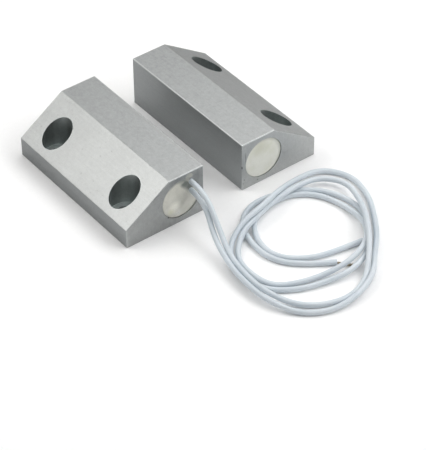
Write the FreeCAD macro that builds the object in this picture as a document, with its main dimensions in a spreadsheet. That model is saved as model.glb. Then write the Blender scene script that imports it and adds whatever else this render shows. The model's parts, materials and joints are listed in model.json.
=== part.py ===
import FreeCAD, Part
import math
import os
import Sketcher
from FreeCAD import Placement, Rotation, Vector

# A surface-mounted door contact: a switch half with a reed switch and two leads, and a magnet half.
#
# Frame, in millimetres: the origin is the centre of the switch half's base, on the mounting surface.
# +X runs along the housings toward the end that the leads leave, +Y from the switch half toward the
# magnet half, and +Z away from the mounting surface. Both tall faces look at each other across the gap.

DRIVING_SIZES = {
    # housings
    "housing_length": 50.0,
    "housing_depth": 25.5,
    "top_flat": 11.2,
    "tall_side": 15.6,
    "short_side": 6.0,
    "edge_round": 0.25,
    "face_gap": 13.0,
    # bore along each housing
    "bore_diameter": 12.3,
    "bore_from_tall_face": 7.45,
    "bore_above_base": 7.95,
    "potting_recess": 0.4,
    # counterbored screw holes through the ramp
    "screw_spacing": 31.5,
    "screw_from_tall_face": 19.2,
    "screw_hole_diameter": 5.5,
    "counterbore_diameter": 8.7,
    "counterbore_floor": 3.0,
    # reed switch, beside the tall face and on the leads' side of the bore
    "reed_across": 8.25,
    "reed_up": 8.55,
    "glass_length": 20.0,
    "glass_diameter": 2.7,
    "glass_end_round": 0.65,
    "glass_cavity_length": 16.0,
    "glass_cavity_diameter": 1.9,
    "cushion_diameter": 3.9,
    "cushion_length": 17.0,
    "leg_diameter": 0.6,
    "leg_root": 7.8,
    "near_leg_reach": 16.5,
    "far_leg_reach": 21.5,
    "blade_thickness": 0.25,
    "blade_width": 1.3,
    "blade_root": 7.75,
    "blade_overlap": 1.2,
    "contact_gap": 0.2,
    # leads and their conductors
    "lead_diameter": 1.5,
    "conductor_diameter": 0.72,
    "joint_across": 8.5,
    "joint_up": 9.3,
    "lead_b_across": 9.2,
    "lead_b_up": 11.4,
    "near_jacket_end": 17.0,
    "far_jacket_end": 13.0,
    "far_exit_run": 1.6,
    "far_step_run": 2.0,
    "joint_length": 3.5,
    "joint_diameter": 2.0,
    "sleeve_diameter": 2.6,
    # bar magnet
    "magnet_diameter": 9.5,
    "magnet_length": 36.0,
}

# Route of each free lead: out of the potting, down to the mounting surface and round its coil.
LEAD_A_ROUTE = [
    (24.6, 8.5, 9.3), (31.0, 8.5, 9.3), (39.5, 5.5, 3.6), (48.5, 3.0, 2.5), (56.5, 2.0, 2.4),
    (65.0, 2.5, 2.0), (73.0, 6.5, 0.8), (77.5, 14.0, 0.8), (77.5, 23.0, 1.7), (74.1, 30.6, 2.1),
    (68.0, 36.0, 1.0), (61.8, 42.3, 0.8), (54.6, 47.1, 0.8), (47.5, 51.0, 0.8), (39.0, 52.5, 0.8),
    (31.5, 47.5, 0.8), (31.5, 39.0, 1.8), (34.0, 31.0, 3.8), (37.0, 23.0, 4.3), (38.3, 15.0, 3.5),
    (41.5, 8.0, 0.8), (50.0, 4.0, 0.8), (59.5, 4.5, 0.8), (65.5, 11.0, 0.8), (68.0, 19.5, 0.8),
    (69.2, 27.9, 1.8), (65.8, 35.7, 1.7), (59.8, 41.5, 1.2), (52.0, 46.0, 0.8), (43.0, 45.0, 0.8),
    (36.5, 40.0, 0.8), (33.0, 32.0, 0.8), (31.5, 23.5, 0.8), (36.0, 16.5, 0.8), (44.0, 13.5, 0.8),
    (53.0, 13.5, 0.8), (60.0, 19.5, 0.8), (64.0, 26.5, 0.8),
]
LEAD_B_ROUTE = [
    (24.6, 9.2, 11.4), (30.9, 9.2, 11.4), (38.3, 7.7, 5.8), (45.5, 5.4, 2.9), (52.9, 3.9, 2.6),
    (61.4, 3.7, 2.5), (69.0, 7.0, 1.1), (74.0, 12.5, 0.8), (76.5, 20.5, 0.8), (74.0, 28.0, 0.8),
    (69.0, 33.2, 3.0), (63.6, 38.0, 5.0), (56.7, 43.1, 3.9), (49.4, 47.3, 2.5), (41.0, 49.4, 1.9),
    (34.5, 44.5, 1.7), (34.5, 36.5, 2.6), (35.5, 28.5, 2.4), (38.0, 21.0, 2.6), (40.6, 13.5, 2.4),
    (46.0, 7.5, 0.8), (53.0, 7.0, 0.8), (60.5, 8.0, 0.8), (64.0, 14.0, 0.8), (66.0, 22.0, 1.1),
    (66.7, 29.9, 2.5), (63.9, 37.3, 3.2), (57.0, 41.8, 2.3), (49.0, 42.5, 0.8), (41.0, 40.5, 0.8),
    (35.5, 35.0, 0.8), (34.5, 27.0, 0.8), (37.5, 19.5, 0.8), (44.5, 15.2, 0.8), (52.5, 15.5, 0.8),
    (58.0, 21.5, 0.8), (60.5, 29.0, 0.8), (61.6, 37.5, 0.8),
]

# Each stripped end goes on from its jacket's end, dips to the surface and stops at its last point.
BARE_END_A_ROUTE = [(64.0, 26.5, 0.8), (64.4, 27.2, 0.8), (66.9, 29.7, 0.4)]
BARE_END_B_ROUTE = [(61.6, 37.5, 0.8), (61.68, 38.12, 0.8), (61.2, 38.9, 0.5)]

# Share of the shorter run that an arc takes up on each side of its point.
ARC_SHARE = 0.45
# Largest difference between a tube's volume and its section times its length, as a share.
VOLUME_TOLERANCE = 0.01
# Volume that every pocket takes out of its block at least, in cubic millimetres.
LEAST_CUT = 1.0
# How far a tool that has to cut right through stands out past each end.
OVERSHOOT = 1.0
ALONG_X = Rotation(Vector(0, 1, 0), 90)
HALF_TURN = Rotation(Vector(0, 0, 1), 180)

doc = FreeCAD.newDocument("DoorContact")
sheet = doc.addObject("Spreadsheet::Sheet", "Sizes")
for row, (alias, value) in enumerate(DRIVING_SIZES.items(), start=1):
    sheet.set(f"A{row}", alias)
    sheet.set(f"B{row}", str(value))
    sheet.setAlias(f"B{row}", alias)
doc.recompute()

parts = []


def size(alias):
    """Value of a driving dimension."""
    return float(sheet.get(alias))


def keep(piece):
    """Mark an object as a finished piece, which is written to a file of its own."""
    parts.append(piece)
    return piece


def bind(piece, expressions):
    """Bind properties of an object to expressions in the sheet's cells."""
    for name, expression in expressions.items():
        piece.setExpression(name, expression)


# ---------------------------------------------------------------- general shapes


def origin_plane(body, role):
    """One of the origin planes of a body."""
    return next(plane for plane in body.Origin.OriginFeatures if plane.Role == role)


def new_sketch(body, role, name):
    """An empty sketch flat on one of its body's origin planes."""
    sketch = body.newObject("Sketcher::SketchObject", name)
    sketch.AttachmentSupport = [(origin_plane(body, role), "")]
    sketch.MapMode = "FlatFace"
    return sketch


def dimension(sketch, name, expression, constraint):
    """Add a named dimension to a sketch and bind it to the sheet."""
    index = sketch.addConstraint(constraint)
    sketch.renameConstraint(index, name)
    sketch.setExpression(f"Constraints.{name}", expression)


def closed_outline(sketch, points):
    """Draw straight edges through the points and join them end to end."""
    for start, end in zip(points, points[1:] + points[:1]):
        sketch.addGeometry(Part.LineSegment(Vector(*start, 0), Vector(*end, 0)), False)
    for number in range(len(points)):
        joined = (number + 1) % len(points)
        sketch.addConstraint(Sketcher.Constraint("Coincident", number, 2, joined, 1))


def circle_at(sketch, across, up, diameter):
    """Draw a circle and return its number in the sketch."""
    return sketch.addGeometry(Part.Circle(Vector(across, up, 0), Vector(0, 0, 1), diameter / 2), False)


def rod(label, diameter, start, length, across, up):
    """A cylinder along X that begins at x = start."""
    piece = doc.addObject("Part::Cylinder", label)
    piece.Placement = Placement(Vector(0, 0, 0), ALONG_X)
    bind(piece, {
        "Radius": f"({diameter}) / 2",
        "Height": length,
        "Placement.Base.x": start,
        "Placement.Base.y": across,
        "Placement.Base.z": up,
    })
    return piece


def cut(label, base, tools):
    """One object less several others."""
    tool = tools[0]
    if len(tools) > 1:
        tool = doc.addObject("Part::MultiFuse", f"{label}_tools")
        tool.Shapes = tools
    piece = doc.addObject("Part::Cut", label)
    piece.Base = base
    piece.Tool = tool
    return piece


# ---------------------------------------------------------------- housings


def housing(label):
    """A wedge-profile block with a bore along it and two counterbored holes through its ramp."""
    body = doc.addObject("PartDesign::Body", label)
    tall_face = size("housing_depth") / 2
    ramp_top = tall_face - size("top_flat")

    profile = new_sketch(body, "YZ_Plane", f"{label}_profile")
    closed_outline(profile, [
        (-tall_face, 0),
        (tall_face, 0),
        (tall_face, size("tall_side")),
        (ramp_top, size("tall_side")),
        (-tall_face, size("short_side")),
    ])
    base_edge, tall_edge, top_edge, short_edge = 0, 1, 2, 4
    for edge in (base_edge, top_edge):
        profile.addConstraint(Sketcher.Constraint("Horizontal", edge))
    for edge in (tall_edge, short_edge):
        profile.addConstraint(Sketcher.Constraint("Vertical", edge))
    profile.addConstraint(Sketcher.Constraint("PointOnObject", base_edge, 1, -1))
    dimension(profile, "to_tall_face", "Sizes.housing_depth / 2",
              Sketcher.Constraint("DistanceX", -1, 1, base_edge, 2, tall_face))
    dimension(profile, "depth", "Sizes.housing_depth",
              Sketcher.Constraint("DistanceX", base_edge, 1, base_edge, 2, 2 * tall_face))
    dimension(profile, "tall", "Sizes.tall_side",
              Sketcher.Constraint("DistanceY", tall_edge, 1, tall_edge, 2, size("tall_side")))
    dimension(profile, "flat", "Sizes.top_flat",
              Sketcher.Constraint("DistanceX", top_edge, 2, top_edge, 1, size("top_flat")))
    dimension(profile, "short", "Sizes.short_side",
              Sketcher.Constraint("DistanceY", short_edge, 2, short_edge, 1, size("short_side")))

    block = body.newObject("PartDesign::Pad", f"{label}_block")
    block.Profile = profile
    block.SideType = "Symmetric"
    block.setExpression("Length", "Sizes.housing_length")
    doc.recompute()

    rounds = body.newObject("PartDesign::Fillet", f"{label}_rounds")
    rounds.Base = (block, [f"Edge{number + 1}" for number in range(len(block.Shape.Edges))])
    rounds.setExpression("Radius", "Sizes.edge_round")
    doc.recompute()

    bore_across = tall_face - size("bore_from_tall_face")
    bore_sketch = new_sketch(body, "YZ_Plane", f"{label}_bore_circle")
    ring = circle_at(bore_sketch, bore_across, size("bore_above_base"), size("bore_diameter"))
    dimension(bore_sketch, "across", "Sizes.housing_depth / 2 - Sizes.bore_from_tall_face",
              Sketcher.Constraint("DistanceX", -1, 1, ring, 3, bore_across))
    dimension(bore_sketch, "up", "Sizes.bore_above_base",
              Sketcher.Constraint("DistanceY", -1, 1, ring, 3, size("bore_above_base")))
    dimension(bore_sketch, "bore", "Sizes.bore_diameter",
              Sketcher.Constraint("Diameter", ring, size("bore_diameter")))
    bore = body.newObject("PartDesign::Pocket", f"{label}_bore")
    bore.Profile = bore_sketch
    bore.SideType = "Symmetric"
    bore.Type = "ThroughAll"
    doc.recompute()

    screw_hole = screw_pocket(body, "screw_hole", "screw_hole_diameter", "0")
    counterbore = screw_pocket(body, "counterbore", "counterbore_diameter", "Sizes.counterbore_floor")
    for tool, before in ((bore, rounds), (screw_hole, bore), (counterbore, screw_hole)):
        if tool.Shape.Volume > before.Shape.Volume - LEAST_CUT:
            raise RuntimeError(f"{tool.Label} cuts nothing")
    return body


def screw_pocket(body, name, diameter_alias, floor):
    """The pair of round pockets on the screw axes, from a height above the base up through the ramp."""
    half_spacing = size("screw_spacing") / 2
    across = size("housing_depth") / 2 - size("screw_from_tall_face")
    diameter = size(diameter_alias)
    sketch = new_sketch(body, "XY_Plane", f"{body.Label}_{name}_circles")
    sketch.setExpression("AttachmentOffset.Base.z", floor)
    for side, along in (("left", -half_spacing), ("right", half_spacing)):
        ring = circle_at(sketch, along, across, diameter)
        ends = (ring, 3, -1, 1) if along < 0 else (-1, 1, ring, 3)
        dimension(sketch, f"{side}_along", "Sizes.screw_spacing / 2",
                  Sketcher.Constraint("DistanceX", *ends, half_spacing))
        dimension(sketch, f"{side}_across", "Sizes.screw_from_tall_face - Sizes.housing_depth / 2",
                  Sketcher.Constraint("DistanceY", ring, 3, -1, 1, -across))
        dimension(sketch, f"{side}_diameter", f"Sizes.{diameter_alias}",
                  Sketcher.Constraint("Diameter", ring, diameter))
    pocket = body.newObject("PartDesign::Pocket", f"{body.Label}_{name}")
    pocket.Profile = sketch
    pocket.Type = "ThroughAll"
    pocket.Reversed = True
    doc.recompute()
    return pocket


switch_housing = keep(housing("switch_housing"))
magnet_housing = keep(housing("magnet_housing"))
magnet_housing.Placement = Placement(Vector(0, 0, 0), HALF_TURN)
magnet_housing.setExpression("Placement.Base.y", "Sizes.housing_depth + Sizes.face_gap")

# ---------------------------------------------------------------- free leads


def tangent_route(points):
    """A wire of straight runs joined by tangent arcs, and the arcs' radii."""
    corners = [Vector(*point) for point in points]
    edges = []
    radii = []
    reached = corners[0]
    for before, corner, after in zip(corners, corners[1:], corners[2:]):
        arriving = corner - before
        leaving = after - corner
        shorter = min(arriving.Length, leaving.Length)
        half_turn = arriving.getAngle(leaving) / 2
        setback = ARC_SHARE * shorter
        radius = setback / math.tan(half_turn)
        arriving.normalize()
        leaving.normalize()
        arc_start = corner - arriving * setback
        arc_end = corner + leaving * setback
        inward = leaving - arriving
        inward.normalize()
        centre_distance = math.hypot(radius, setback)
        arc_middle = corner + inward * (centre_distance - radius)
        edges.append(Part.LineSegment(reached, arc_start).toShape())
        edges.append(Part.Arc(arc_start, arc_middle, arc_end).toShape())
        radii.append(radius)
        reached = arc_end
    edges.append(Part.LineSegment(reached, corners[-1]).toShape())
    return Part.Wire(edges), radii


def tube(label, points, diameter):
    """A round solid along a tangent route, with its length and bends printed and its volume checked."""
    path, radii = tangent_route(points)
    start = Vector(*points[0])
    heading = Vector(*points[1]) - start
    section = Part.Wire(Part.Circle(start, heading, diameter / 2).toShape())
    piece = doc.addObject("Part::Feature", label)
    piece.Shape = path.makePipeShell([section], True, False)
    piece.Placement = Placement()
    expected = math.pi * diameter ** 2 / 4 * path.Length
    if abs(piece.Shape.Volume / expected - 1) > VOLUME_TOLERANCE:
        raise RuntimeError(f"{label} has volume {piece.Shape.Volume:.2f}, not {expected:.2f}")
    print(f"{label}: length {path.Length:.1f}, radii {min(radii):.1f} to {max(radii):.1f}")
    return piece


keep(tube("lead_a", LEAD_A_ROUTE, size("lead_diameter")))
keep(tube("lead_b", LEAD_B_ROUTE, size("lead_diameter")))
keep(tube("bare_end_a", BARE_END_A_ROUTE, size("conductor_diameter")))
keep(tube("bare_end_b", BARE_END_B_ROUTE, size("conductor_diameter")))

# ---------------------------------------------------------------- reed switch

REED_ACROSS = "Sizes.reed_across"
REED_UP = "Sizes.reed_up"
POTTING_FACE = "(Sizes.housing_length / 2 - Sizes.potting_recess)"


def reed_rod(label, diameter, start, length):
    """A cylinder on the reed switch's own axis."""
    return rod(label, diameter, start, length, REED_ACROSS, REED_UP)


def reed_glass():
    """The glass tube, melted shut round the legs at both ends and hollow between them."""
    outside = reed_rod("glass_outside", "Sizes.glass_diameter", "-Sizes.glass_length / 2",
                       "Sizes.glass_length")
    rounded = doc.addObject("Part::Fillet", "glass_rounded")
    rounded.Base = outside
    doc.recompute()
    rims = [number for number, edge in enumerate(outside.Shape.Edges, start=1)
            if isinstance(edge.Curve, Part.Circle)]
    rounding = size("glass_end_round")
    rounded.Edges = [(number, rounding, rounding) for number in rims]
    cavity = reed_rod("glass_cavity", "Sizes.glass_cavity_diameter", "-Sizes.glass_cavity_length / 2",
                      "Sizes.glass_cavity_length")
    leg_way = reed_rod("glass_leg_way", "Sizes.leg_diameter", f"-Sizes.glass_length / 2 - {OVERSHOOT}",
                       f"Sizes.glass_length + 2 * {OVERSHOOT}")
    return cut("reed_glass", rounded, [cavity, leg_way])


def blade(label, start, up):
    """A flat spring from beside its leg to just past the middle of the glass."""
    strip = doc.addObject("Part::Box", label)
    bind(strip, {
        "Length": "Sizes.blade_root + Sizes.blade_overlap / 2",
        "Width": "Sizes.blade_width",
        "Height": "Sizes.blade_thickness",
        "Placement.Base.x": start,
        "Placement.Base.y": "Sizes.reed_across - Sizes.blade_width / 2",
        "Placement.Base.z": up,
    })
    return strip


keep(reed_glass())
near_leg = keep(reed_rod("reed_leg_near", "Sizes.leg_diameter", "Sizes.leg_root",
                         "Sizes.near_leg_reach - Sizes.leg_root"))
far_leg = keep(reed_rod("reed_leg_far", "Sizes.leg_diameter", "-Sizes.far_leg_reach",
                        "Sizes.far_leg_reach - Sizes.leg_root"))
keep(blade("reed_blade_near", "-Sizes.blade_overlap / 2", "Sizes.reed_up + Sizes.contact_gap / 2"))
keep(blade("reed_blade_far", "-Sizes.blade_root",
           "Sizes.reed_up - Sizes.contact_gap / 2 - Sizes.blade_thickness"))

glass_envelope = reed_rod("glass_envelope", "Sizes.glass_diameter", "-Sizes.cushion_length / 2",
                          "Sizes.cushion_length")
cushion_envelope = reed_rod("cushion_envelope", "Sizes.cushion_diameter", "-Sizes.cushion_length / 2",
                            "Sizes.cushion_length")
keep(cut("reed_cushion", cushion_envelope, [glass_envelope]))

# ---------------------------------------------------------------- wiring inside the switch half


def lead_rod(label, start, length, across, up):
    """A straight stretch of insulated lead inside the potting."""
    return rod(label, "Sizes.lead_diameter", start, length, across, up)


def joint_rod(label, diameter, start, length):
    """A cylinder on the line along which both conductors lie against their legs."""
    return rod(label, diameter, start, length, "Sizes.joint_across", "Sizes.joint_up")


inner_lead_a = keep(lead_rod("inner_lead_a", "Sizes.near_jacket_end",
                             f"{POTTING_FACE} - Sizes.near_jacket_end",
                             "Sizes.joint_across", "Sizes.joint_up"))
inner_lead_b = keep(lead_rod("inner_lead_b", "-Sizes.far_jacket_end",
                             f"{POTTING_FACE} + Sizes.far_jacket_end",
                             "Sizes.lead_b_across", "Sizes.lead_b_up"))
conductor_a = keep(joint_rod("inner_conductor_a", "Sizes.conductor_diameter",
                             "Sizes.near_leg_reach - Sizes.joint_length",
                             "Sizes.near_jacket_end - Sizes.near_leg_reach + Sizes.joint_length"))

# Conductor B leaves its jacket, steps over to the joint line in two bends and runs on beside its leg.
step_start = -size("far_jacket_end") - size("far_exit_run")
step_end = step_start - size("far_step_run")
conductor_b = keep(tube("inner_conductor_b", [
    (-size("far_jacket_end"), size("lead_b_across"), size("lead_b_up")),
    (step_start, size("lead_b_across"), size("lead_b_up")),
    (step_end, size("joint_across"), size("joint_up")),
    (-size("far_leg_reach"), size("joint_across"), size("joint_up")),
], size("conductor_diameter")))


def solder_joint(side, start, leg, conductor):
    """A lap joint of leg and conductor: solder round both and a shrink sleeve over the solder."""
    middle = ("(Sizes.joint_across + Sizes.reed_across) / 2", "(Sizes.joint_up + Sizes.reed_up) / 2")
    blob = rod(f"solder_{side}_blob", "Sizes.joint_diameter", start, "Sizes.joint_length", *middle)
    wrap = rod(f"sleeve_{side}_wrap", "Sizes.sleeve_diameter", start, "Sizes.joint_length", *middle)
    keep(cut(f"solder_{side}", blob, [leg, conductor]))
    keep(cut(f"sleeve_{side}", wrap, [blob]))
    return wrap


near_wrap = solder_joint("near", "Sizes.near_leg_reach - Sizes.joint_length", near_leg, conductor_a)
far_wrap = solder_joint("far", "-Sizes.far_leg_reach", far_leg, conductor_b)

# ---------------------------------------------------------------- potting and magnet


def bore_rod(label, diameter, start, length, across):
    """A cylinder on the axis of a housing's bore."""
    return rod(label, diameter, start, length, across, "Sizes.bore_above_base")


switch_bore = "Sizes.housing_depth / 2 - Sizes.bore_from_tall_face"
fill = bore_rod("switch_fill", "Sizes.bore_diameter", f"-{POTTING_FACE}", f"2 * {POTTING_FACE}", switch_bore)
whole_glass = reed_rod("whole_glass", "Sizes.glass_diameter", "-Sizes.glass_length / 2", "Sizes.glass_length")
keep(cut("switch_potting", fill, [
    whole_glass, cushion_envelope, near_leg, far_leg, near_wrap, far_wrap,
    inner_lead_a, inner_lead_b, conductor_a, conductor_b,
]))

magnet_bore = "Sizes.housing_depth / 2 + Sizes.face_gap + Sizes.bore_from_tall_face"
bar_magnet = keep(bore_rod("bar_magnet", "Sizes.magnet_diameter", "-Sizes.magnet_length / 2",
                           "Sizes.magnet_length", magnet_bore))
for side, start in (("near", "0"), ("far", f"-{POTTING_FACE}")):
    plug = bore_rod(f"magnet_{side}_fill", "Sizes.bore_diameter", start, POTTING_FACE, magnet_bore)
    keep(cut(f"magnet_potting_{side}", plug, [bar_magnet]))

# ---------------------------------------------------------------- checks and files

doc.recompute()
for item in doc.Objects:
    if {"Invalid", "Error"} & set(item.State):
        raise RuntimeError(f"{item.Label} is in state {item.State}")

os.makedirs("parts", exist_ok=True)
for piece in parts:
    shape = piece.Shape
    if shape.isNull() or not shape.isValid() or len(shape.Solids) != 1:
        raise RuntimeError(f"{piece.Label} is not one valid solid")
for piece in parts:
    piece.Shape.exportStep(f"parts/{piece.Label}.step")
print(f"{len(parts)} pieces written")
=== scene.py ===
import json
import math

import bmesh
import bpy
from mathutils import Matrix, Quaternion, Vector, noise


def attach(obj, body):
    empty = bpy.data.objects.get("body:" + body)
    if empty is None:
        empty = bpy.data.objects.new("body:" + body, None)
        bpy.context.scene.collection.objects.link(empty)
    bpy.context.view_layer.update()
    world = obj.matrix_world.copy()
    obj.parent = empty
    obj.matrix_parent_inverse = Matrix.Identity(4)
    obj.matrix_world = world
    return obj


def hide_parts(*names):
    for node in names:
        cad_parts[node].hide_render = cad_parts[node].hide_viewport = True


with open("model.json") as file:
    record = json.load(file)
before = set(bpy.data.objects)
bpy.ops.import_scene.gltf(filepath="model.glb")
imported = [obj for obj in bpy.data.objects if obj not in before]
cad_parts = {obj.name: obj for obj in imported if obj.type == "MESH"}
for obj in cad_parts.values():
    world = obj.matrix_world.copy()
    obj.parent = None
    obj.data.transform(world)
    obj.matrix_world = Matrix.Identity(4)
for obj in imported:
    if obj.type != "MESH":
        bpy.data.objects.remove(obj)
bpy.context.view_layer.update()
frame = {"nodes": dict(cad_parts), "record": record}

MM = 0.001
SWITCH = "switch_half"
MAGNET = "magnet_half"

# ---------------------------------------------------------------- sizes, in metres

LEAD_DIAMETER = 1.5 * MM
STRAND_DIAMETER = 0.24 * MM
END_FACE = 25.0 * MM
HOUSING_TOP = 15.6 * MM
MIDWAY_ACROSS = 19.25 * MM
TALL_FACE_FROM_MIDWAY = 6.5 * MM
BORE_RADIUS = 6.15 * MM
BORE_HEIGHT = 7.95 * MM
SWITCH_BORE_ACROSS = 5.3 * MM
MAGNET_BORE_ACROSS = 33.2 * MM
BORE_FROM_MIDWAY = MAGNET_BORE_ACROSS - MIDWAY_ACROSS
POTTING_FACE = 24.6 * MM
HOLE_ALONG = 15.75 * MM
HOLE_FROM_MIDWAY = 25.7 * MM
COUNTERBORE_RADIUS = 4.35 * MM
COUNTERBORE_FLOOR = 3.0 * MM

# Control points of the two free leads and of their stripped ends, and the jackets' lengths, in metres.
LEAD_A_LENGTH = 0.314
LEAD_B_LENGTH = 0.291
LEAD_A_ROUTE = [
    (0.0246, 0.0085, 0.0093), (0.0310, 0.0085, 0.0093), (0.03939, 0.00536, 0.0036),
    (0.0485, 0.0030, 0.0025), (0.0565, 0.0020, 0.0024), (0.0650, 0.0025, 0.0020),
    (0.07289, 0.00659, 0.0008), (0.07739, 0.0141, 0.0008), (0.07731, 0.0230, 0.0017),
    (0.07408, 0.0306, 0.0021), (0.06803, 0.03604, 0.0010), (0.06186, 0.04241, 0.0008),
    (0.05473, 0.0473, 0.0008), (0.04756, 0.05134, 0.0008), (0.03889, 0.05277, 0.0008),
    (0.0315, 0.04757, 0.0008), (0.03193, 0.03886, 0.0018), (0.03443, 0.03093, 0.0038),
    (0.03723, 0.02302, 0.0043), (0.03848, 0.0151, 0.0035), (0.04169, 0.00812, 0.0008),
    (0.0500, 0.0040, 0.0008), (0.0595, 0.0045, 0.0008), (0.06535, 0.01112, 0.0008),
    (0.0680, 0.0195, 0.0008), (0.0694, 0.0279, 0.0018), (0.0662, 0.0357, 0.0017),
    (0.0598, 0.0415, 0.0012), (0.0520, 0.0460, 0.0008), (0.0430, 0.0450, 0.0008),
    (0.0364, 0.04001, 0.0008), (0.03247, 0.03215, 0.0008), (0.0315, 0.0235, 0.0008),
    (0.0360, 0.0165, 0.0008), (0.04401, 0.01376, 0.0008), (0.05276, 0.01389, 0.0008),
    (0.05961, 0.01982, 0.0008), (0.06375, 0.02681, 0.0008),
]
LEAD_B_ROUTE = [
    (0.0246, 0.00855, 0.0123), (0.0306, 0.0088, 0.0123), (0.03816, 0.00758, 0.0058),
    (0.0454, 0.00527, 0.0029), (0.05287, 0.00394, 0.0026), (0.06141, 0.00368, 0.0025),
    (0.06886, 0.00712, 0.0011), (0.07386, 0.01262, 0.0008), (0.07625, 0.02055, 0.0008),
    (0.07385, 0.02793, 0.0008), (0.06898, 0.03325, 0.0030), (0.06353, 0.03795, 0.0050),
    (0.0565, 0.04281, 0.0039), (0.04922, 0.04684, 0.0025), (0.04108, 0.04904, 0.0019),
    (0.03489, 0.04417, 0.0017), (0.03491, 0.03634, 0.0026), (0.03568, 0.02846, 0.0024),
    (0.0380, 0.0210, 0.0026), (0.0406, 0.0135, 0.0024), (0.04601, 0.00732, 0.0008),
    (0.05319, 0.00612, 0.0008), (0.06063, 0.00773, 0.0008), (0.0640, 0.0140, 0.0008),
    (0.0660, 0.0220, 0.0011), (0.0667, 0.0299, 0.0025), (0.06386, 0.03732, 0.0032),
    (0.05693, 0.04215, 0.0023), (0.04866, 0.04321, 0.0008), (0.04044, 0.04107, 0.0008),
    (0.03514, 0.03536, 0.0008), (0.03455, 0.0270, 0.0008), (0.03747, 0.01953, 0.0008),
    (0.04476, 0.0154, 0.0008), (0.0525, 0.0155, 0.0008), (0.0580, 0.0215, 0.0008),
    (0.06035, 0.02913, 0.0008), (0.06142, 0.03772, 0.0008),
]
BARE_END_A_ROUTE = [(0.0640, 0.0265, 0.0008), (0.0644, 0.0272, 0.0008), (0.0669, 0.0297, 0.0004)]
BARE_END_B_ROUTE = [(0.0616, 0.0375, 0.0008), (0.06168, 0.03812, 0.0008), (0.0612, 0.0389, 0.0005)]


# ---------------------------------------------------------------- node helpers


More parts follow.
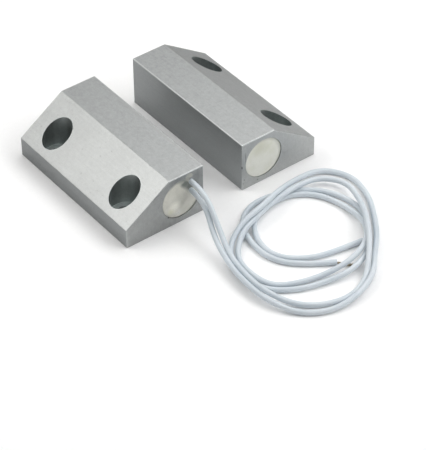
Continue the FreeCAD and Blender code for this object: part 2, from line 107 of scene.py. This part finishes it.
class Material:
    """A node material under construction."""

    def __init__(self, name):
        self.material = bpy.data.materials.new(name)
        self.material.use_nodes = True
        self.tree = self.material.node_tree
        self.shader = self.tree.nodes["Principled BSDF"]

    def node(self, kind, **settings):
        made = self.tree.nodes.new(kind)
        for name, value in settings.items():
            setattr(made, name, value)
        return made

    def link(self, source, target):
        self.tree.links.new(source, target)

    def feed(self, name, source):
        """Link a value to one of the shader's own sockets."""
        self.link(source, self.shader.inputs[name])

    def constant(self, **values):
        for name, value in values.items():
            self.shader.inputs[name.replace("_", " ")].default_value = value

    def place(self, stretch=None):
        """Coordinates in the row frame, in metres, each axis multiplied by its stretch."""
        point = self.node("ShaderNodeTexCoord").outputs["Object"]
        if stretch is None:
            return point
        mapping = self.node("ShaderNodeMapping")
        mapping.inputs["Scale"].default_value = stretch
        self.link(point, mapping.inputs["Vector"])
        return mapping.outputs["Vector"]

    def noise(self, scale, detail=2.0, roughness=0.5, stretch=None):
        made = self.node("ShaderNodeTexNoise")
        made.inputs["Scale"].default_value = scale
        made.inputs["Detail"].default_value = detail
        made.inputs["Roughness"].default_value = roughness
        self.link(self.place(stretch), made.inputs["Vector"])
        return made.outputs["Fac"]

    def ramp(self, value, stops):
        made = self.node("ShaderNodeValToRGB")
        elements = made.color_ramp.elements
        while len(elements) < len(stops):
            elements.new(0.5)
        for element, (position, colour) in zip(elements, stops):
            element.position = position
            element.color = (*colour, 1.0)
        self.link(value, made.inputs["Fac"])
        return made.outputs["Color"]

    def spread(self, value, low, high, start=0.3, end=0.7):
        """value, from start to end, turned into low to high."""
        made = self.node("ShaderNodeMapRange")
        for name, number in (("From Min", start), ("From Max", end), ("To Min", low), ("To Max", high)):
            made.inputs[name].default_value = number
        self.link(value, made.inputs["Value"])
        return made.outputs["Result"]

    def math(self, operation, first, second):
        """A calculation on two inputs, each a number or a socket."""
        made = self.node("ShaderNodeMath", operation=operation)
        for socket, value in zip(made.inputs, (first, second)):
            if isinstance(value, (int, float)):
                socket.default_value = value
            else:
                self.link(value, socket)
        return made.outputs["Value"]

    def layers(self, base, *parts):
        """base plus each value times its weight, where a value counts from its middle, 0.5."""
        total = base
        for value, weight in parts:
            shifted = self.math("SUBTRACT", value, 0.5)
            total = self.math("ADD", self.math("MULTIPLY", shifted, weight), total)
        return total

    def mix(self, amount, first, second):
        """first where amount is 0, second where it is 1; each is a colour or a socket."""
        made = self.node("ShaderNodeMix", data_type="RGBA")
        self.link(amount, made.inputs["Factor"])
        for socket, value in ((made.inputs[6], first), (made.inputs[7], second)):
            if isinstance(value, tuple):
                socket.default_value = (*value, 1.0)
            else:
                self.link(value, socket)
        return made.outputs[2]

    def times(self, *values):
        """The product of values, each a number or a socket."""
        product = values[0]
        for value in values[1:]:
            product = self.math("MULTIPLY", product, value)
        return product

    def distance(self, centre, stretch=None):
        """How far a place is from centre, in metres, each axis multiplied by its stretch.

        centre is in millimetres, like those of near, beyond, spot and patch.
        """
        made = self.node("ShaderNodeVectorMath", operation="DISTANCE")
        scales = stretch or (1.0, 1.0, 1.0)
        made.inputs[1].default_value = [value * MM * scale for value, scale in zip(centre, scales)]
        self.link(self.place(stretch), made.inputs[0])
        return made.outputs["Value"]

    def near(self, centre, inner, outer):
        """1 within inner of centre, falling to 0 at outer, all in millimetres."""
        return self.spread(self.distance(centre), 1.0, 0.0, inner * MM, outer * MM)

    def beyond(self, centre, inner, outer):
        """0 within inner of centre, rising to 1 at outer, all in millimetres."""
        return self.spread(self.distance(centre), 0.0, 1.0, inner * MM, outer * MM)

    def spot(self, centre, radius, stretch):
        """1 in a small ellipsoid round centre and 0 outside it; radius is its size where stretch is 1."""
        away = self.distance(centre, stretch)
        return self.spread(away, 1.0, 0.0, radius * MM * 0.5, radius * MM * 1.2)

    def patch(self, tint, colour, centre, inner, outer, *masks):
        """tint with a soft round patch of colour on it, as strong as the product of the masks."""
        return self.mix(self.times(self.near(centre, inner, outer), *masks), tint, colour)

    def axis_values(self):
        """The three coordinates in the row frame, in metres."""
        axes = self.node("ShaderNodeSeparateXYZ")
        self.link(self.place(), axes.inputs[0])
        return axes.outputs["X"], axes.outputs["Y"], axes.outputs["Z"]

    def absolute(self, value):
        """A value without its sign."""
        return self.math("ABSOLUTE", value, 0.0)

    def edges(self, radius):
        """Near 1 on rounded edges and near 0 on faces."""
        rounded = self.node("ShaderNodeBevel", samples=8)
        rounded.inputs["Radius"].default_value = radius
        facing = self.node("ShaderNodeVectorMath", operation="DOT_PRODUCT")
        self.link(rounded.outputs["Normal"], facing.inputs[0])
        self.link(self.node("ShaderNodeNewGeometry").outputs["True Normal"], facing.inputs[1])
        return self.spread(facing.outputs["Value"], 1.0, 0.0, 0.86, 0.995)

    def bump(self, height, distance, strength=1.0, below=None):
        made = self.node("ShaderNodeBump")
        made.inputs["Distance"].default_value = distance
        made.inputs["Strength"].default_value = strength
        self.link(height, made.inputs["Height"])
        if below is not None:
            self.link(below, made.inputs["Normal"])
        return made.outputs["Normal"]


BLACK = (0.0, 0.0, 0.0)


def grey(level, warm=0.0):
    """A near grey, warmer where warm is above 0."""
    return (level * (1 + warm), level, level * (1 - warm))


# ---------------------------------------------------------------- materials


def axis_distance(made, plane, centre):
    """How far a place is from the nearest of some parallel axes, in metres.

    plane is 1 for the coordinates that are measured and 0 for the one along the axes. centre is a point of
    one axis, given from the middle of the gap, and the others are its mirror images.
    """
    point = made.place()
    for operation, other in (
        ("SUBTRACT", (0.0, MIDWAY_ACROSS, 0.0)),
        ("ABSOLUTE", (0.0, 0.0, 0.0)),
        ("MULTIPLY", plane),
        ("DISTANCE", centre),
    ):
        step = made.node("ShaderNodeVectorMath", operation=operation)
        made.link(point, step.inputs[0])
        step.inputs[1].default_value = other
        point = step.outputs[0]
    return step.outputs["Value"]


# Marks on the housings, the last two painted shade: centre in millimetres, size in millimetres, stretch, and
# change of brightness.
METAL_MARKS_AND_SHADE = [
    ((25.0, 27.0, 10.8), 0.17, (1.0, 1.0, 0.09), -0.20),
    ((24.9, 25.84, 7.9), 0.22, (1.0, 1.0, 0.40), -0.28),
    ((25.0, 26.56, 3.35), 0.22, (1.0, 1.0, 1.0), -0.26),
    ((25.0, 31.16, 1.25), 0.24, (1.0, 1.0, 1.0), -0.24),
    ((25.0, 26.3, 2.2), 0.20, (1.0, 1.0, 0.6), -0.14),
    ((25.0, 0.96, 3.55), 0.34, (1.0, 1.0, 1.0), -0.30),
    # These last two rows are soft painted shade on the switch half's end face, either side of the leads.
    ((25.0, 3.7, 14.3), 1.60, (1.0, 0.8, 1.0), -0.05),
    ((25.0, 10.6, 13.2), 1.20, (1.0, 1.0, 0.7), -0.05),
]


def face_values(made):
    """1 on the housings' end faces, and 1 on the faces that look along -Y, each 0 elsewhere."""
    normal = made.node("ShaderNodeSeparateXYZ")
    made.link(made.node("ShaderNodeNewGeometry").outputs["True Normal"], normal.inputs[0])
    end_face = made.spread(made.absolute(normal.outputs["X"]), 0.0, 1.0, 0.9, 0.98)
    return end_face, made.spread(normal.outputs["Y"], 1.0, 0.0, -0.98, -0.9)


def painted_edge_highlights(made, along, height):
    """Painted highlights on the rounded edges: strong at the top and at the ends, and none round the bores.
    """
    at_end = made.spread(made.absolute(along), 0.0, 1.0, END_FACE - 0.55 * MM, END_FACE - 0.30 * MM)
    near_top = HOUSING_TOP - 0.4 * MM
    shine = made.math("ADD", made.spread(height, 0.02, 0.40, 12 * MM, near_top),
                      made.times(at_end, made.spread(height, 0.15, 0.75, 5 * MM, near_top)))
    from_bore = axis_distance(made, (0.0, 1.0, 1.0), (0.0, BORE_FROM_MIDWAY, BORE_HEIGHT))
    off_bore = made.spread(from_bore, 0.05, 1.0, BORE_RADIUS + 0.45 * MM, BORE_RADIUS + 0.95 * MM)
    return made.times(made.edges(0.48 * MM), shine, off_bore)


def satin_metal():
    """Blasted alloy: fine speckle, soft mottling, sparse pits, drawing and sawing marks, painted edge
    highlights, and painted light and shade on some faces.
    """
    made = Material("satin_metal")
    along, across, height = made.axis_values()
    end_face, side_face = face_values(made)

    speckle = made.noise(4200, detail=2.0)
    mottling = made.noise(760, detail=4.0, roughness=0.65)
    scuffs = made.noise(1.0, detail=3.0, stretch=(430, 1500, 1100))
    clouds = made.noise(95, detail=2.0)
    drawn = made.noise(1.0, detail=2.0, stretch=(60, 3800, 3800))
    sawn = made.noise(1.0, detail=2.0, stretch=(2500, 2600, 110))
    other_faces = made.math("SUBTRACT", 1.0, end_face)
    marks = made.math("ADD", made.times(sawn, end_face), made.times(drawn, other_faces))
    cells = made.node("ShaderNodeTexVoronoi")
    cells.inputs["Scale"].default_value = 620
    made.link(made.place(), cells.inputs["Vector"])
    pit = made.spread(cells.outputs["Distance"], 1.0, 0.0, 0.05, 0.13)

    # The counterbores' insides, which take painted shade, and the ledges at the bottom of them, which take
    # painted light.
    from_hole = axis_distance(made, (1.0, 1.0, 0.0), (HOLE_ALONG, HOLE_FROM_MIDWAY, 0.0))
    in_hole = made.spread(from_hole, 1.0, 0.0, COUNTERBORE_RADIUS + 0.03 * MM, COUNTERBORE_RADIUS + 0.15 * MM)
    over_floor = made.absolute(made.math("SUBTRACT", height, COUNTERBORE_FLOOR))
    ledge = made.times(in_hole, made.spread(over_floor, 1.0, 0.0, 0.02 * MM, 0.10 * MM))

    # The tall faces' upper edges, the switch half's short side, and its end face, which take painted
    # highlight and painted shade.
    from_midway = made.absolute(made.math("SUBTRACT", across, MIDWAY_ACROSS))
    at_tall_face = made.spread(from_midway, 1.0, 0.0, TALL_FACE_FROM_MIDWAY + 0.25 * MM,
                               TALL_FACE_FROM_MIDWAY + 0.40 * MM)
    at_top = made.spread(height, 0.0, 1.0, HOUSING_TOP - 0.3 * MM, HOUSING_TOP - 0.1 * MM)
    top_edge = made.times(at_tall_face, at_top)
    short_side = made.times(side_face, made.spread(across, 1.0, 0.0, -12 * MM, -5 * MM))
    switch_end = made.times(end_face, made.spread(across, 1.0, 0.0, 15 * MM, 25 * MM))

    level = made.layers(0.405, (speckle, 0.14), (marks, 0.06))
    patches = made.layers(0.0, (mottling, 0.17), (clouds, 0.06), (scuffs, 0.05))
    calm = made.spread(side_face, 1.0, 0.35, 0.0, 1.0)
    level = made.math("ADD", level, made.times(patches, calm))
    # Painted light and shade: darker inside the counterbores, lighter on the ledges, the tall faces' upper
    # edges and the end faces, lighter toward the +X end, darker on the faces looking along -Y, on the switch
    # half's short side and on its end face, then the painted edge highlights.
    for value, weight in ((pit, -0.05), (in_hole, -0.01), (top_edge, 0.12), (ledge, 0.50), (along, 1.6),
                          (side_face, -0.06), (short_side, -0.04), (end_face, 0.02), (switch_end, -0.085),
                          (painted_edge_highlights(made, along, height), 1.0)):
        level = made.math("ADD", level, made.times(value, weight))
    for centre, size, stretch, change in METAL_MARKS_AND_SHADE:
        level = made.math("ADD", level, made.times(made.spot(centre, size, stretch), change))

    tint = made.ramp(level, [(0.0, BLACK), (1.0, (0.968, 0.994, 0.988))])
    # A painted cool reflection on the faces looking along -Y, and painted teal shade inside the counterbores.
    tint = made.mix(side_face, tint, made.ramp(level, [(0.0, BLACK), (1.0, (0.950, 0.990, 1.0))]))
    tint = made.mix(in_hole, tint, made.ramp(level, [(0.0, BLACK), (1.0, (0.935, 1.0, 0.99))]))
    made.feed("Base Color", tint)
    made.feed("Roughness", made.layers(0.47, (clouds, 0.10), (mottling, 0.14)))
    relief = made.bump(speckle, 0.014 * MM, 0.7)
    relief = made.bump(marks, 0.010 * MM, 0.5, relief)
    made.feed("Normal", made.bump(made.math("SUBTRACT", 1.0, pit), 0.05 * MM, 0.6, relief))
    made.constant(Metallic=1.0)
    return made.material


# How light soaks into both resins.
RESIN_DEPTH = {
    "Subsurface_Weight": 0.15,
    "Subsurface_Scale": 0.6 * MM,
    "Subsurface_Radius": (1.0, 0.95, 0.85),
}


def grey_resin():
    """Grey-beige casting resin: cloudy, paler and yellower in one lump, with painted shade where it sinks at
    the leads, between them and over them.
    """
    made = Material("grey_resin")
    blotches = made.noise(330, detail=4.0, roughness=0.6)
    specks = made.noise(2600, detail=2.0)
    along, _, height = made.axis_values()

    # Painted shade below the leads, then the pale lump low on the outer side, with wisps and a yellow stain.
    tint = made.ramp(blotches, [(0.30, (0.54, 0.535, 0.475)), (0.70, (0.66, 0.655, 0.59))])
    tint = made.patch(tint, (0.47, 0.465, 0.42), (25.0, 7.2, 6.2), 0.8, 3.4, 0.5)
    cloudy = made.spread(blotches, 0.6, 1.0, 0.35, 0.6)
    tint = made.patch(tint, (0.86, 0.85, 0.76), (25.0, 3.1, 5.8), 0.9, 2.4, cloudy)
    grainy = made.spread(specks, 0.2, 0.9, 0.45, 0.6)
    tint = made.patch(tint, (0.82, 0.82, 0.79), (25.0, 4.3, 3.6), 0.4, 1.5, grainy)
    tint = made.patch(tint, (0.62, 0.62, 0.43), (25.0, 1.7, 5.0), 0.2, 1.2, 0.5)

    # Painted shade on the sunk part behind the end face, at the leads and along the bore's upper rim.
    behind = made.spread(along, 1.0, 0.0, END_FACE - 0.08 * MM, END_FACE)
    upper_side = made.beyond((25.0, -14.8, -5.8), 26.5, 27.5)
    tint = made.patch(tint, (0.265, 0.285, 0.265), (25.0, 6.7, 12.2), 1.0, 5.4, upper_side, behind)
    tint = made.patch(tint, (0.12, 0.135, 0.12), (25.0, 6.6, 12.3), 0.5, 1.6, behind, 0.7)
    upward = made.spread(height, 0.0, 0.6, 11.5 * MM, 13.0 * MM)
    rim = made.times(made.beyond((24.6, 5.3, 7.95), 5.3, 5.9), upward)
    tint = made.mix(rim, tint, (0.27, 0.29, 0.275))

    # Painted shade in the narrow place between the two leads, dark up to a firm edge, and over them on the
    # smear.
    outside = made.math("SUBTRACT", 1.0, made.times(made.near((24.6, 8.6, 10.8), 0.5, 1.5), 0.7))
    tint = made.mix(made.math("POWER", outside, 3.0), (0.19, 0.205, 0.19), tint)
    tint = made.patch(tint, (0.40, 0.405, 0.365), (25.1, 8.1, 14.3), 1.0, 1.8)

    made.feed("Base Color", made.mix(made.spread(specks, 0.12, 0.0, 0.2, 0.45), tint, (0.2, 0.2, 0.18)))
    made.feed("Roughness", made.spread(blotches, 0.34, 0.50))
    made.feed("Normal", made.bump(blotches, 0.10 * MM, 0.6, made.bump(specks, 0.012 * MM, 0.6)))
    made.constant(**RESIN_DEPTH)
    return made.material


def cream_resin():
    """Pale cream casting resin, a little yellower in places, with painted shade at the rim and small dark
    specks.
    """
    made = Material("cream_resin")
    blotches = made.noise(240, detail=4.0, roughness=0.6)
    specks = made.noise(2400, detail=2.0)
    tint = made.ramp(blotches, [(0.30, (0.76, 0.765, 0.66)), (0.50, (0.81, 0.81, 0.735)),
                                (0.72, (0.86, 0.865, 0.79))])
    tint = made.patch(tint, (0.62, 0.62, 0.50), (25.0, 32.0, 11.8), 0.5, 3.6, 0.70)
    # Painted shade round the rim.
    rim = made.times(made.beyond((25.0, 32.7, 7.7), 5.5, 6.1), 0.45)
    tint = made.mix(rim, tint, (0.42, 0.43, 0.38))
    made.feed("Base Color", made.mix(made.spread(specks, 0.10, 0.0, 0.2, 0.42), tint, (0.4, 0.4, 0.34)))
    made.feed("Roughness", made.spread(blotches, 0.40, 0.55))
    made.feed("Normal", made.bump(blotches, 0.06 * MM, 0.6, made.bump(specks, 0.012 * MM, 0.6)))
    made.constant(**RESIN_DEPTH)
    return made.material


def lead_jacket():
    """Soft extruded jacket, pale grey with a little blue, faintly scuffed."""
    made = Material("lead_jacket")
    tint = made.noise(120, detail=3.0)
    grain = made.noise(2600, detail=2.0)
    scuffs = made.noise(420, detail=4.0, roughness=0.7)
    colour = made.ramp(tint, [(0.3, (0.58, 0.64, 0.69)), (0.7, (0.66, 0.71, 0.75))])
    made.feed("Base Color", made.mix(made.spread(scuffs, 0.0, 0.25, 0.62, 0.75), colour, (0.46, 0.50, 0.50)))
    made.feed("Roughness", made.layers(0.40, (grain, 0.12), (scuffs, 0.2)))
    made.feed("Normal", made.bump(grain, 0.010 * MM, 0.5))
    made.constant(Subsurface_Weight=0.12, Subsurface_Scale=0.6 * MM, Subsurface_Radius=(0.9, 0.95, 1.0))
    return made.material


def dull_metal(name, dark, light, roughness):
    """Bare metal with small patches of dulling."""
    made = Material(name)
    patches = made.noise(1500, detail=3.0)
    made.feed("Base Color", made.ramp(patches, [(0.3, dark), (0.7, light)]))
    made.feed("Roughness", made.spread(patches, roughness + 0.08, roughness - 0.08))
    made.constant(Metallic=1.0)
    return made.material


def plain_plastic(name, dark, light, roughness):
    """Moulded or shrunk plastic with a faint grain."""
    made = Material(name)
    grain = made.noise(1800, detail=3.0)
    made.feed("Base Color", made.ramp(grain, [(0.3, dark), (0.7, light)]))
    made.feed("Normal", made.bump(grain, 0.02 * MM, 0.5))
    made.constant(Roughness=roughness)
    return made.material


def clear_glass():
    """Greenish reed glass."""
    made = Material("reed_glass")
    wave = made.noise(300, detail=1.0)
    made.feed("Base Color", made.ramp(wave, [(0.3, (0.80, 0.93, 0.86)), (0.7, (0.86, 0.96, 0.90))]))
    made.constant(Roughness=0.03, Transmission_Weight=0.9, IOR=1.5)
    return made.material


MATERIALS = {
    "satin_metal": satin_metal(),
    "grey_resin": grey_resin(),
    "cream_resin": cream_resin(),
    "lead_jacket": lead_jacket(),
    "copper": dull_metal("copper", (0.20, 0.165, 0.11), (0.46, 0.39, 0.28), 0.42),
    "glass": clear_glass(),
    "soft_sleeve": plain_plastic("soft_sleeve", (0.76, 0.76, 0.72), (0.86, 0.86, 0.82), 0.6),
    "reed_alloy": dull_metal("reed_alloy", grey(0.55, 0.02), grey(0.70, 0.02), 0.25),
    "solder": dull_metal("solder", grey(0.50), grey(0.66), 0.3),
    "shrink_sleeve": plain_plastic("shrink_sleeve", grey(0.02), grey(0.035), 0.5),
    "magnet_alloy": dull_metal("magnet_alloy", grey(0.30), grey(0.42), 0.45),
}

for row in frame["record"]["subparts"]:
    node = frame["nodes"][row["node"]]
    node.data.materials.clear()
    node.data.materials.append(MATERIALS[row["material_slot"]])

# ---------------------------------------------------------------- free leads


def route_curve(name, route):
    """A smooth open curve that has the route's points as its control points."""
    curve = bpy.data.curves.new(name, "CURVE")
    curve.dimensions = "3D"
    curve.resolution_u = 10
    spline = curve.splines.new("NURBS")
    spline.points.add(len(route) - 1)
    for point, place in zip(spline.points, route):
        point.co = (*place, 1.0)
    spline.order_u = 3
    spline.use_endpoint_u = True
    piece = bpy.data.objects.new(name, curve)
    bpy.context.collection.objects.link(piece)
    return piece


def jacket_piece(name, route):
    """The round jacket of a lead along its route."""
    piece = route_curve(name, route)
    piece.data.bevel_depth = LEAD_DIAMETER / 2
    piece.data.bevel_resolution = 8
    piece.data.use_fill_caps = True
    piece.data.materials.append(MATERIALS["lead_jacket"])
    return piece


def route_line(route):
    """Points along the smooth curve of a route."""
    guide = route_curve("guide", route)
    bpy.context.view_layer.update()
    mesh = bpy.data.meshes.new_from_object(guide)
    line = [vertex.co.copy() for vertex in mesh.vertices]
    bpy.data.objects.remove(guide)
    bpy.data.meshes.remove(mesh)
    return line


def add_bands(mesh, rings):
    """Join rings of vertices, each to the next, with bands of four-sided faces."""
    for first, second in zip(rings, rings[1:]):
        for step in range(len(first)):
            following = (step + 1) % len(first)
            mesh.faces.new((first[step], first[following], second[following], second[step]))


def add_tube(mesh, line, radius, sides=8):
    """Add a closed tube along a line of points to a bmesh, with a tapered tip."""
    rings = []
    side = Vector((0.0, 0.0, 1.0))
    for number, point in enumerate(line):
        before = line[max(number - 1, 0)]
        after = line[min(number + 1, len(line) - 1)]
        heading = (after - before).normalized()
        side = (side - heading * side.dot(heading)).normalized()
        other = heading.cross(side)
        size = radius * (0.6 if number == len(line) - 1 else 1.0)
        ring = []
        for step in range(sides):
            turn = 2 * math.pi * step / sides
            ring.append(mesh.verts.new(point + (side * math.cos(turn) + other * math.sin(turn)) * size))
        rings.append(ring)
    add_bands(mesh, rings)
    mesh.faces.new(rings[0][::-1])
    mesh.faces.new(rings[-1])


def stranded_end(name, route, turns, seed):
    """Bare strands along a stripped end, twisted round a middle one, a little apart at the tip."""
    around, flare, rest_height = 6, 0.35, STRAND_DIAMETER * 1.6
    line = route_line(route)
    mesh = bmesh.new()
    length = sum((after - before).length for before, after in zip(line, line[1:]))
    for strand in range(around + 1):
        points = []
        along = 0.0
        for number, point in enumerate(line):
            before = line[max(number - 1, 0)]
            after = line[min(number + 1, len(line) - 1)]
            heading = (after - before).normalized()
            along += (point - before).length
            side = Vector((0.0, 0.0, 1.0)).cross(heading).normalized()
            up = heading.cross(side)
            turn = 2 * math.pi * (strand / around + turns * along / length)
            apart = 0.0 if strand == around else STRAND_DIAMETER * (1 + flare * (along / length) ** 2)
            lift = up * max(0.0, rest_height - point.z)
            points.append(point + lift + (side * math.cos(turn) + up * math.sin(turn)) * apart)
        stray = noise.noise(Vector((strand * 1.7, seed, 0.0)))
        cut = max(3, len(points) - 1 - int(6 * abs(stray)))
        add_tube(mesh, points[:cut + 1], STRAND_DIAMETER / 2)
    return mesh_piece(name, mesh, MATERIALS["copper"])


def mesh_piece(name, mesh, material):
    """A smooth-shaded object from a bmesh, with its normals outward."""
    bmesh.ops.recalc_face_normals(mesh, faces=mesh.faces)
    for face in mesh.faces:
        face.smooth = True
    data = bpy.data.meshes.new(name)
    mesh.to_mesh(data)
    mesh.free()
    data.materials.append(material)
    piece = bpy.data.objects.new(name, data)
    bpy.context.collection.objects.link(piece)
    return piece


for letter, route, jacket_length, bare_route, turns in (
    ("a", LEAD_A_ROUTE, LEAD_A_LENGTH, BARE_END_A_ROUTE, 1.1),
    ("b", LEAD_B_ROUTE, LEAD_B_LENGTH, BARE_END_B_ROUTE, 0.4),
):
    strands = stranded_end(f"strands_{letter}", bare_route, turns, len(route))
    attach(strands, SWITCH)
    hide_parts(f"bare_end_{letter}")
    jacket = jacket_piece(f"jacket_{letter}", route)
    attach(jacket, SWITCH)
    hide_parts(f"lead_{letter}")

# ---------------------------------------------------------------- resin faces


def skin_mesh(rows, middle, back):
    """A closed thin skin from rows of points, inmost first, its middle point, and a flat back at x = back."""
    mesh = bmesh.new()
    rings = [[mesh.verts.new(point) for point in row] for row in rows]
    centre = mesh.verts.new(middle)
    rim = [mesh.verts.new((back, vertex.co.y, vertex.co.z)) for vertex in rings[-1]]
    add_bands(mesh, [*rings, rim])
    inmost = rings[0]
    for step, vertex in enumerate(inmost):
        mesh.faces.new((centre, vertex, inmost[(step + 1) % len(inmost)]))
    mesh.faces.new(rim)
    return mesh


def resin_face(name, body, slot, across, end, height):
    """The uneven skin of the resin at one end of a bore, with its rings crowded toward the wall.

    end is 1 or -1 for the +X or -X end, and height gives the skin's thickness in millimetres over the
    flat potting face at a point (y, z) in millimetres from the bore's axis.
    """
    sides, ring_count = 128, 44
    crowding, fill = 1.35, 0.998
    thinnest, sunk = 0.015, 0.02 * MM
    rows = []
    for number in range(1, ring_count + 1):
        share = number / ring_count
        radius = BORE_RADIUS * (1 - (1 - share) ** crowding) * fill
        row = []
        for step in range(sides):
            turn = 2 * math.pi * step / sides
            y, z = radius * math.cos(turn), radius * math.sin(turn)
            x = POTTING_FACE + max(thinnest, height(y / MM, z / MM)) * MM
            row.append((end * x, across + y, BORE_HEIGHT + z))
        rows.append(row)
    middle = (end * (POTTING_FACE + height(0, 0) * MM), across, BORE_HEIGHT)
    piece = mesh_piece(name, skin_mesh(rows, middle, end * (POTTING_FACE - sunk)), MATERIALS[slot])
    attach(piece, body)


def hump(y, z, at, width, rise):
    """A soft rise round a point."""
    away = math.hypot(y - at[0], z - at[1]) / width
    return rise * math.exp(-away * away)


def uneven(y, z, seed, swing, wavelength):
    """Smooth random unevenness, up and down by swing at most."""
    return swing * noise.noise(Vector((y / wavelength, z / wavelength, seed)))


def rim_share(y, z):
    """0 at the bore's axis and 1 at its wall."""
    return min(1.0, math.hypot(y, z) / (BORE_RADIUS / MM))


def leads_end_height(y, z):
    """Resin of the end that the leads leave: full at the lower outside, sunk and creeping up at the leads."""
    rim = rim_share(y, z)
    side = (y * 0.62 - z * 0.78) / (BORE_RADIUS / MM)
    height = 0.34 + uneven(y, z, 3.1, 0.06, 2.4) + uneven(y, z, 8.4, 0.025, 0.7)
    height += hump(y, z, (-2.1, -3.3), 1.5, 0.20) + hump(y, z, (-0.9, -4.3), 0.7, 0.14)
    height -= 0.26 * max(0.0, side) ** 1.5
    height -= hump(y, z, (3.4, 3.0), 2.4, 0.22)
    for lead_y, lead_z in ((3.2, 1.35), (3.25, 4.35)):
        clear = max(0.0, math.hypot(y - lead_y, z - lead_z) - LEAD_DIAMETER / MM / 2)
        height += 0.18 * math.exp(-clear / 0.40)
    return height - 0.30 * rim ** 26 + 0.06 * rim ** 6


def plain_end_height(seed):
    """Height function of an end where the resin is only a little uneven."""
    def height(y, z):
        rim = rim_share(y, z)
        return (0.22 + uneven(y, z, seed, 0.07, 3.0) + uneven(y, z, seed + 4.0, 0.02, 0.8)
                + hump(y, z, (1.0, -2.0), 2.4, 0.06) - 0.14 * rim ** 22 + 0.05 * rim ** 5)
    return height


def painted_shade_smear():
    """A thin sheet in the grey resin's material on the end face over the upper lead, darkened as painted
    shade, its sizes in millimetres.
    """
    sides, ring_count = 56, 14
    centre_y, centre_z = 8.0, 14.3
    half_width, half_height = 1.25, 0.70
    thickness, edge_thickness = 0.10, 0.01
    rows = []
    for number in range(1, ring_count + 1):
        share = number / ring_count
        row = []
        for step in range(sides):
            turn = 2 * math.pi * step / sides
            lobe = 1.0 + 0.28 * noise.noise(Vector((1.3 * math.cos(turn), 1.3 * math.sin(turn), 6.2)))
            y = centre_y + half_width * lobe * share * math.cos(turn)
            z = centre_z + half_height * lobe * share * math.sin(turn)
            rise = thickness * (1 - share ** 2) * (1 + uneven(y, z, 2.2, 0.5, 0.5)) + edge_thickness
            row.append((END_FACE + rise * MM, y * MM, z * MM))
        rows.append(row)
    middle = (END_FACE + (thickness + edge_thickness) * MM, centre_y * MM, centre_z * MM)
    mesh = skin_mesh(rows, middle, END_FACE - 0.05 * MM)
    piece = mesh_piece("switch_painted_shade_smear", mesh, MATERIALS["grey_resin"])
    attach(piece, SWITCH)


painted_shade_smear()
resin_face("switch_resin_lead_end", SWITCH, "grey_resin", SWITCH_BORE_ACROSS, 1, leads_end_height)
resin_face("switch_resin_far_end", SWITCH, "grey_resin", SWITCH_BORE_ACROSS, -1, plain_end_height(11.0))
resin_face("magnet_resin_near_end", MAGNET, "cream_resin", MAGNET_BORE_ACROSS, 1, plain_end_height(5.0))
resin_face("magnet_resin_far_end", MAGNET, "cream_resin", MAGNET_BORE_ACROSS, -1, plain_end_height(17.0))

# ---------------------------------------------------------------- floor, light and camera


def studio():
    """A pale floor and a faint even surround."""
    mesh = bpy.data.meshes.new("floor")
    reach = 3.0
    corners = [(-reach, -reach, 0), (reach, -reach, 0), (reach, reach, 0), (-reach, reach, 0)]
    mesh.from_pydata(corners, [], [(0, 1, 2, 3)])
    floor = bpy.data.objects.new("floor", mesh)
    bpy.context.collection.objects.link(floor)
    paper = Material("floor_paper")
    tooth = paper.noise(900, detail=3.0)
    paper.feed("Base Color", paper.ramp(tooth, [(0.3, grey(0.945)), (0.7, grey(0.965))]))
    paper.constant(Roughness=0.9, Specular_IOR_Level=0.2)
    mesh.materials.append(paper.material)

    world = bpy.data.worlds.new("surround")
    bpy.context.scene.world = world
    world.use_nodes = True
    background = world.node_tree.nodes["Background"]
    background.inputs["Color"].default_value = (1.0, 1.0, 1.0, 1.0)
    background.inputs["Strength"].default_value = 0.05


WARM = (1.0, 0.99, 0.97)
NEUTRAL = (1.0, 1.0, 1.0)

# Soft boxes round the object: name, bearing from +X and height in degrees, side length, watts and colour.
SOFTBOXES = [
    ("left", 216, 42, 0.45, 1.62, WARM),
    ("front_left", 238, 40, 0.35, 0.46, WARM),
    ("back", 143, 41, 0.45, 0.92, NEUTRAL),
    ("back_right", 90, 50, 0.45, 1.42, NEUTRAL),
    ("right", 40, 40, 0.45, 2.05, NEUTRAL),
    ("front", -37, 35, 0.45, 0.60, NEUTRAL),
    ("top", 90, 88, 0.50, 1.25, NEUTRAL),
]


def softbox(name, bearing, rise, side, watts, colour):
    """A square area light that faces the object from its bearing and height."""
    aim = Vector((0.025, 0.020, 0.0))
    distance = 0.7
    level = math.cos(math.radians(rise))
    toward = Vector((math.cos(math.radians(bearing)) * level, math.sin(math.radians(bearing)) * level,
                     math.sin(math.radians(rise))))
    data = bpy.data.lights.new(name, "AREA")
    data.shape = "SQUARE"
    data.size = side
    data.energy = watts
    data.color = colour
    light = bpy.data.objects.new(name, data)
    light.location = aim + toward * distance
    light.rotation_mode = "QUATERNION"
    light.rotation_quaternion = (-toward).to_track_quat("-Z", "Y")
    bpy.context.collection.objects.link(light)


def camera():
    """A long lens from beside the leads' end, looking down at both halves."""
    azimuth, elevation, roll = math.radians(52.86), math.radians(40.97), math.radians(-0.604)
    distance = 0.5569
    aim = Vector((0.0314, 0.0109, 0.0))
    back = Vector((math.sin(azimuth) * math.cos(elevation), -math.cos(azimuth) * math.cos(elevation),
                   math.sin(elevation)))
    data = bpy.data.cameras.new("camera")
    data.lens = 166.88
    data.sensor_width = 36.0
    view = bpy.data.objects.new("camera", data)
    view.location = aim + back * distance
    view.rotation_mode = "QUATERNION"
    view.rotation_quaternion = (-back).to_track_quat("-Z", "Y") @ Quaternion((0, 0, 1), roll)
    bpy.context.collection.objects.link(view)
    bpy.context.scene.camera = view


studio()
for settings in SOFTBOXES:
    softbox(*settings)
camera()
bpy.context.scene.view_settings.view_transform = "Standard"

# ---------------------------------------------------------------- closing lines

bpy.context.view_layer.update()
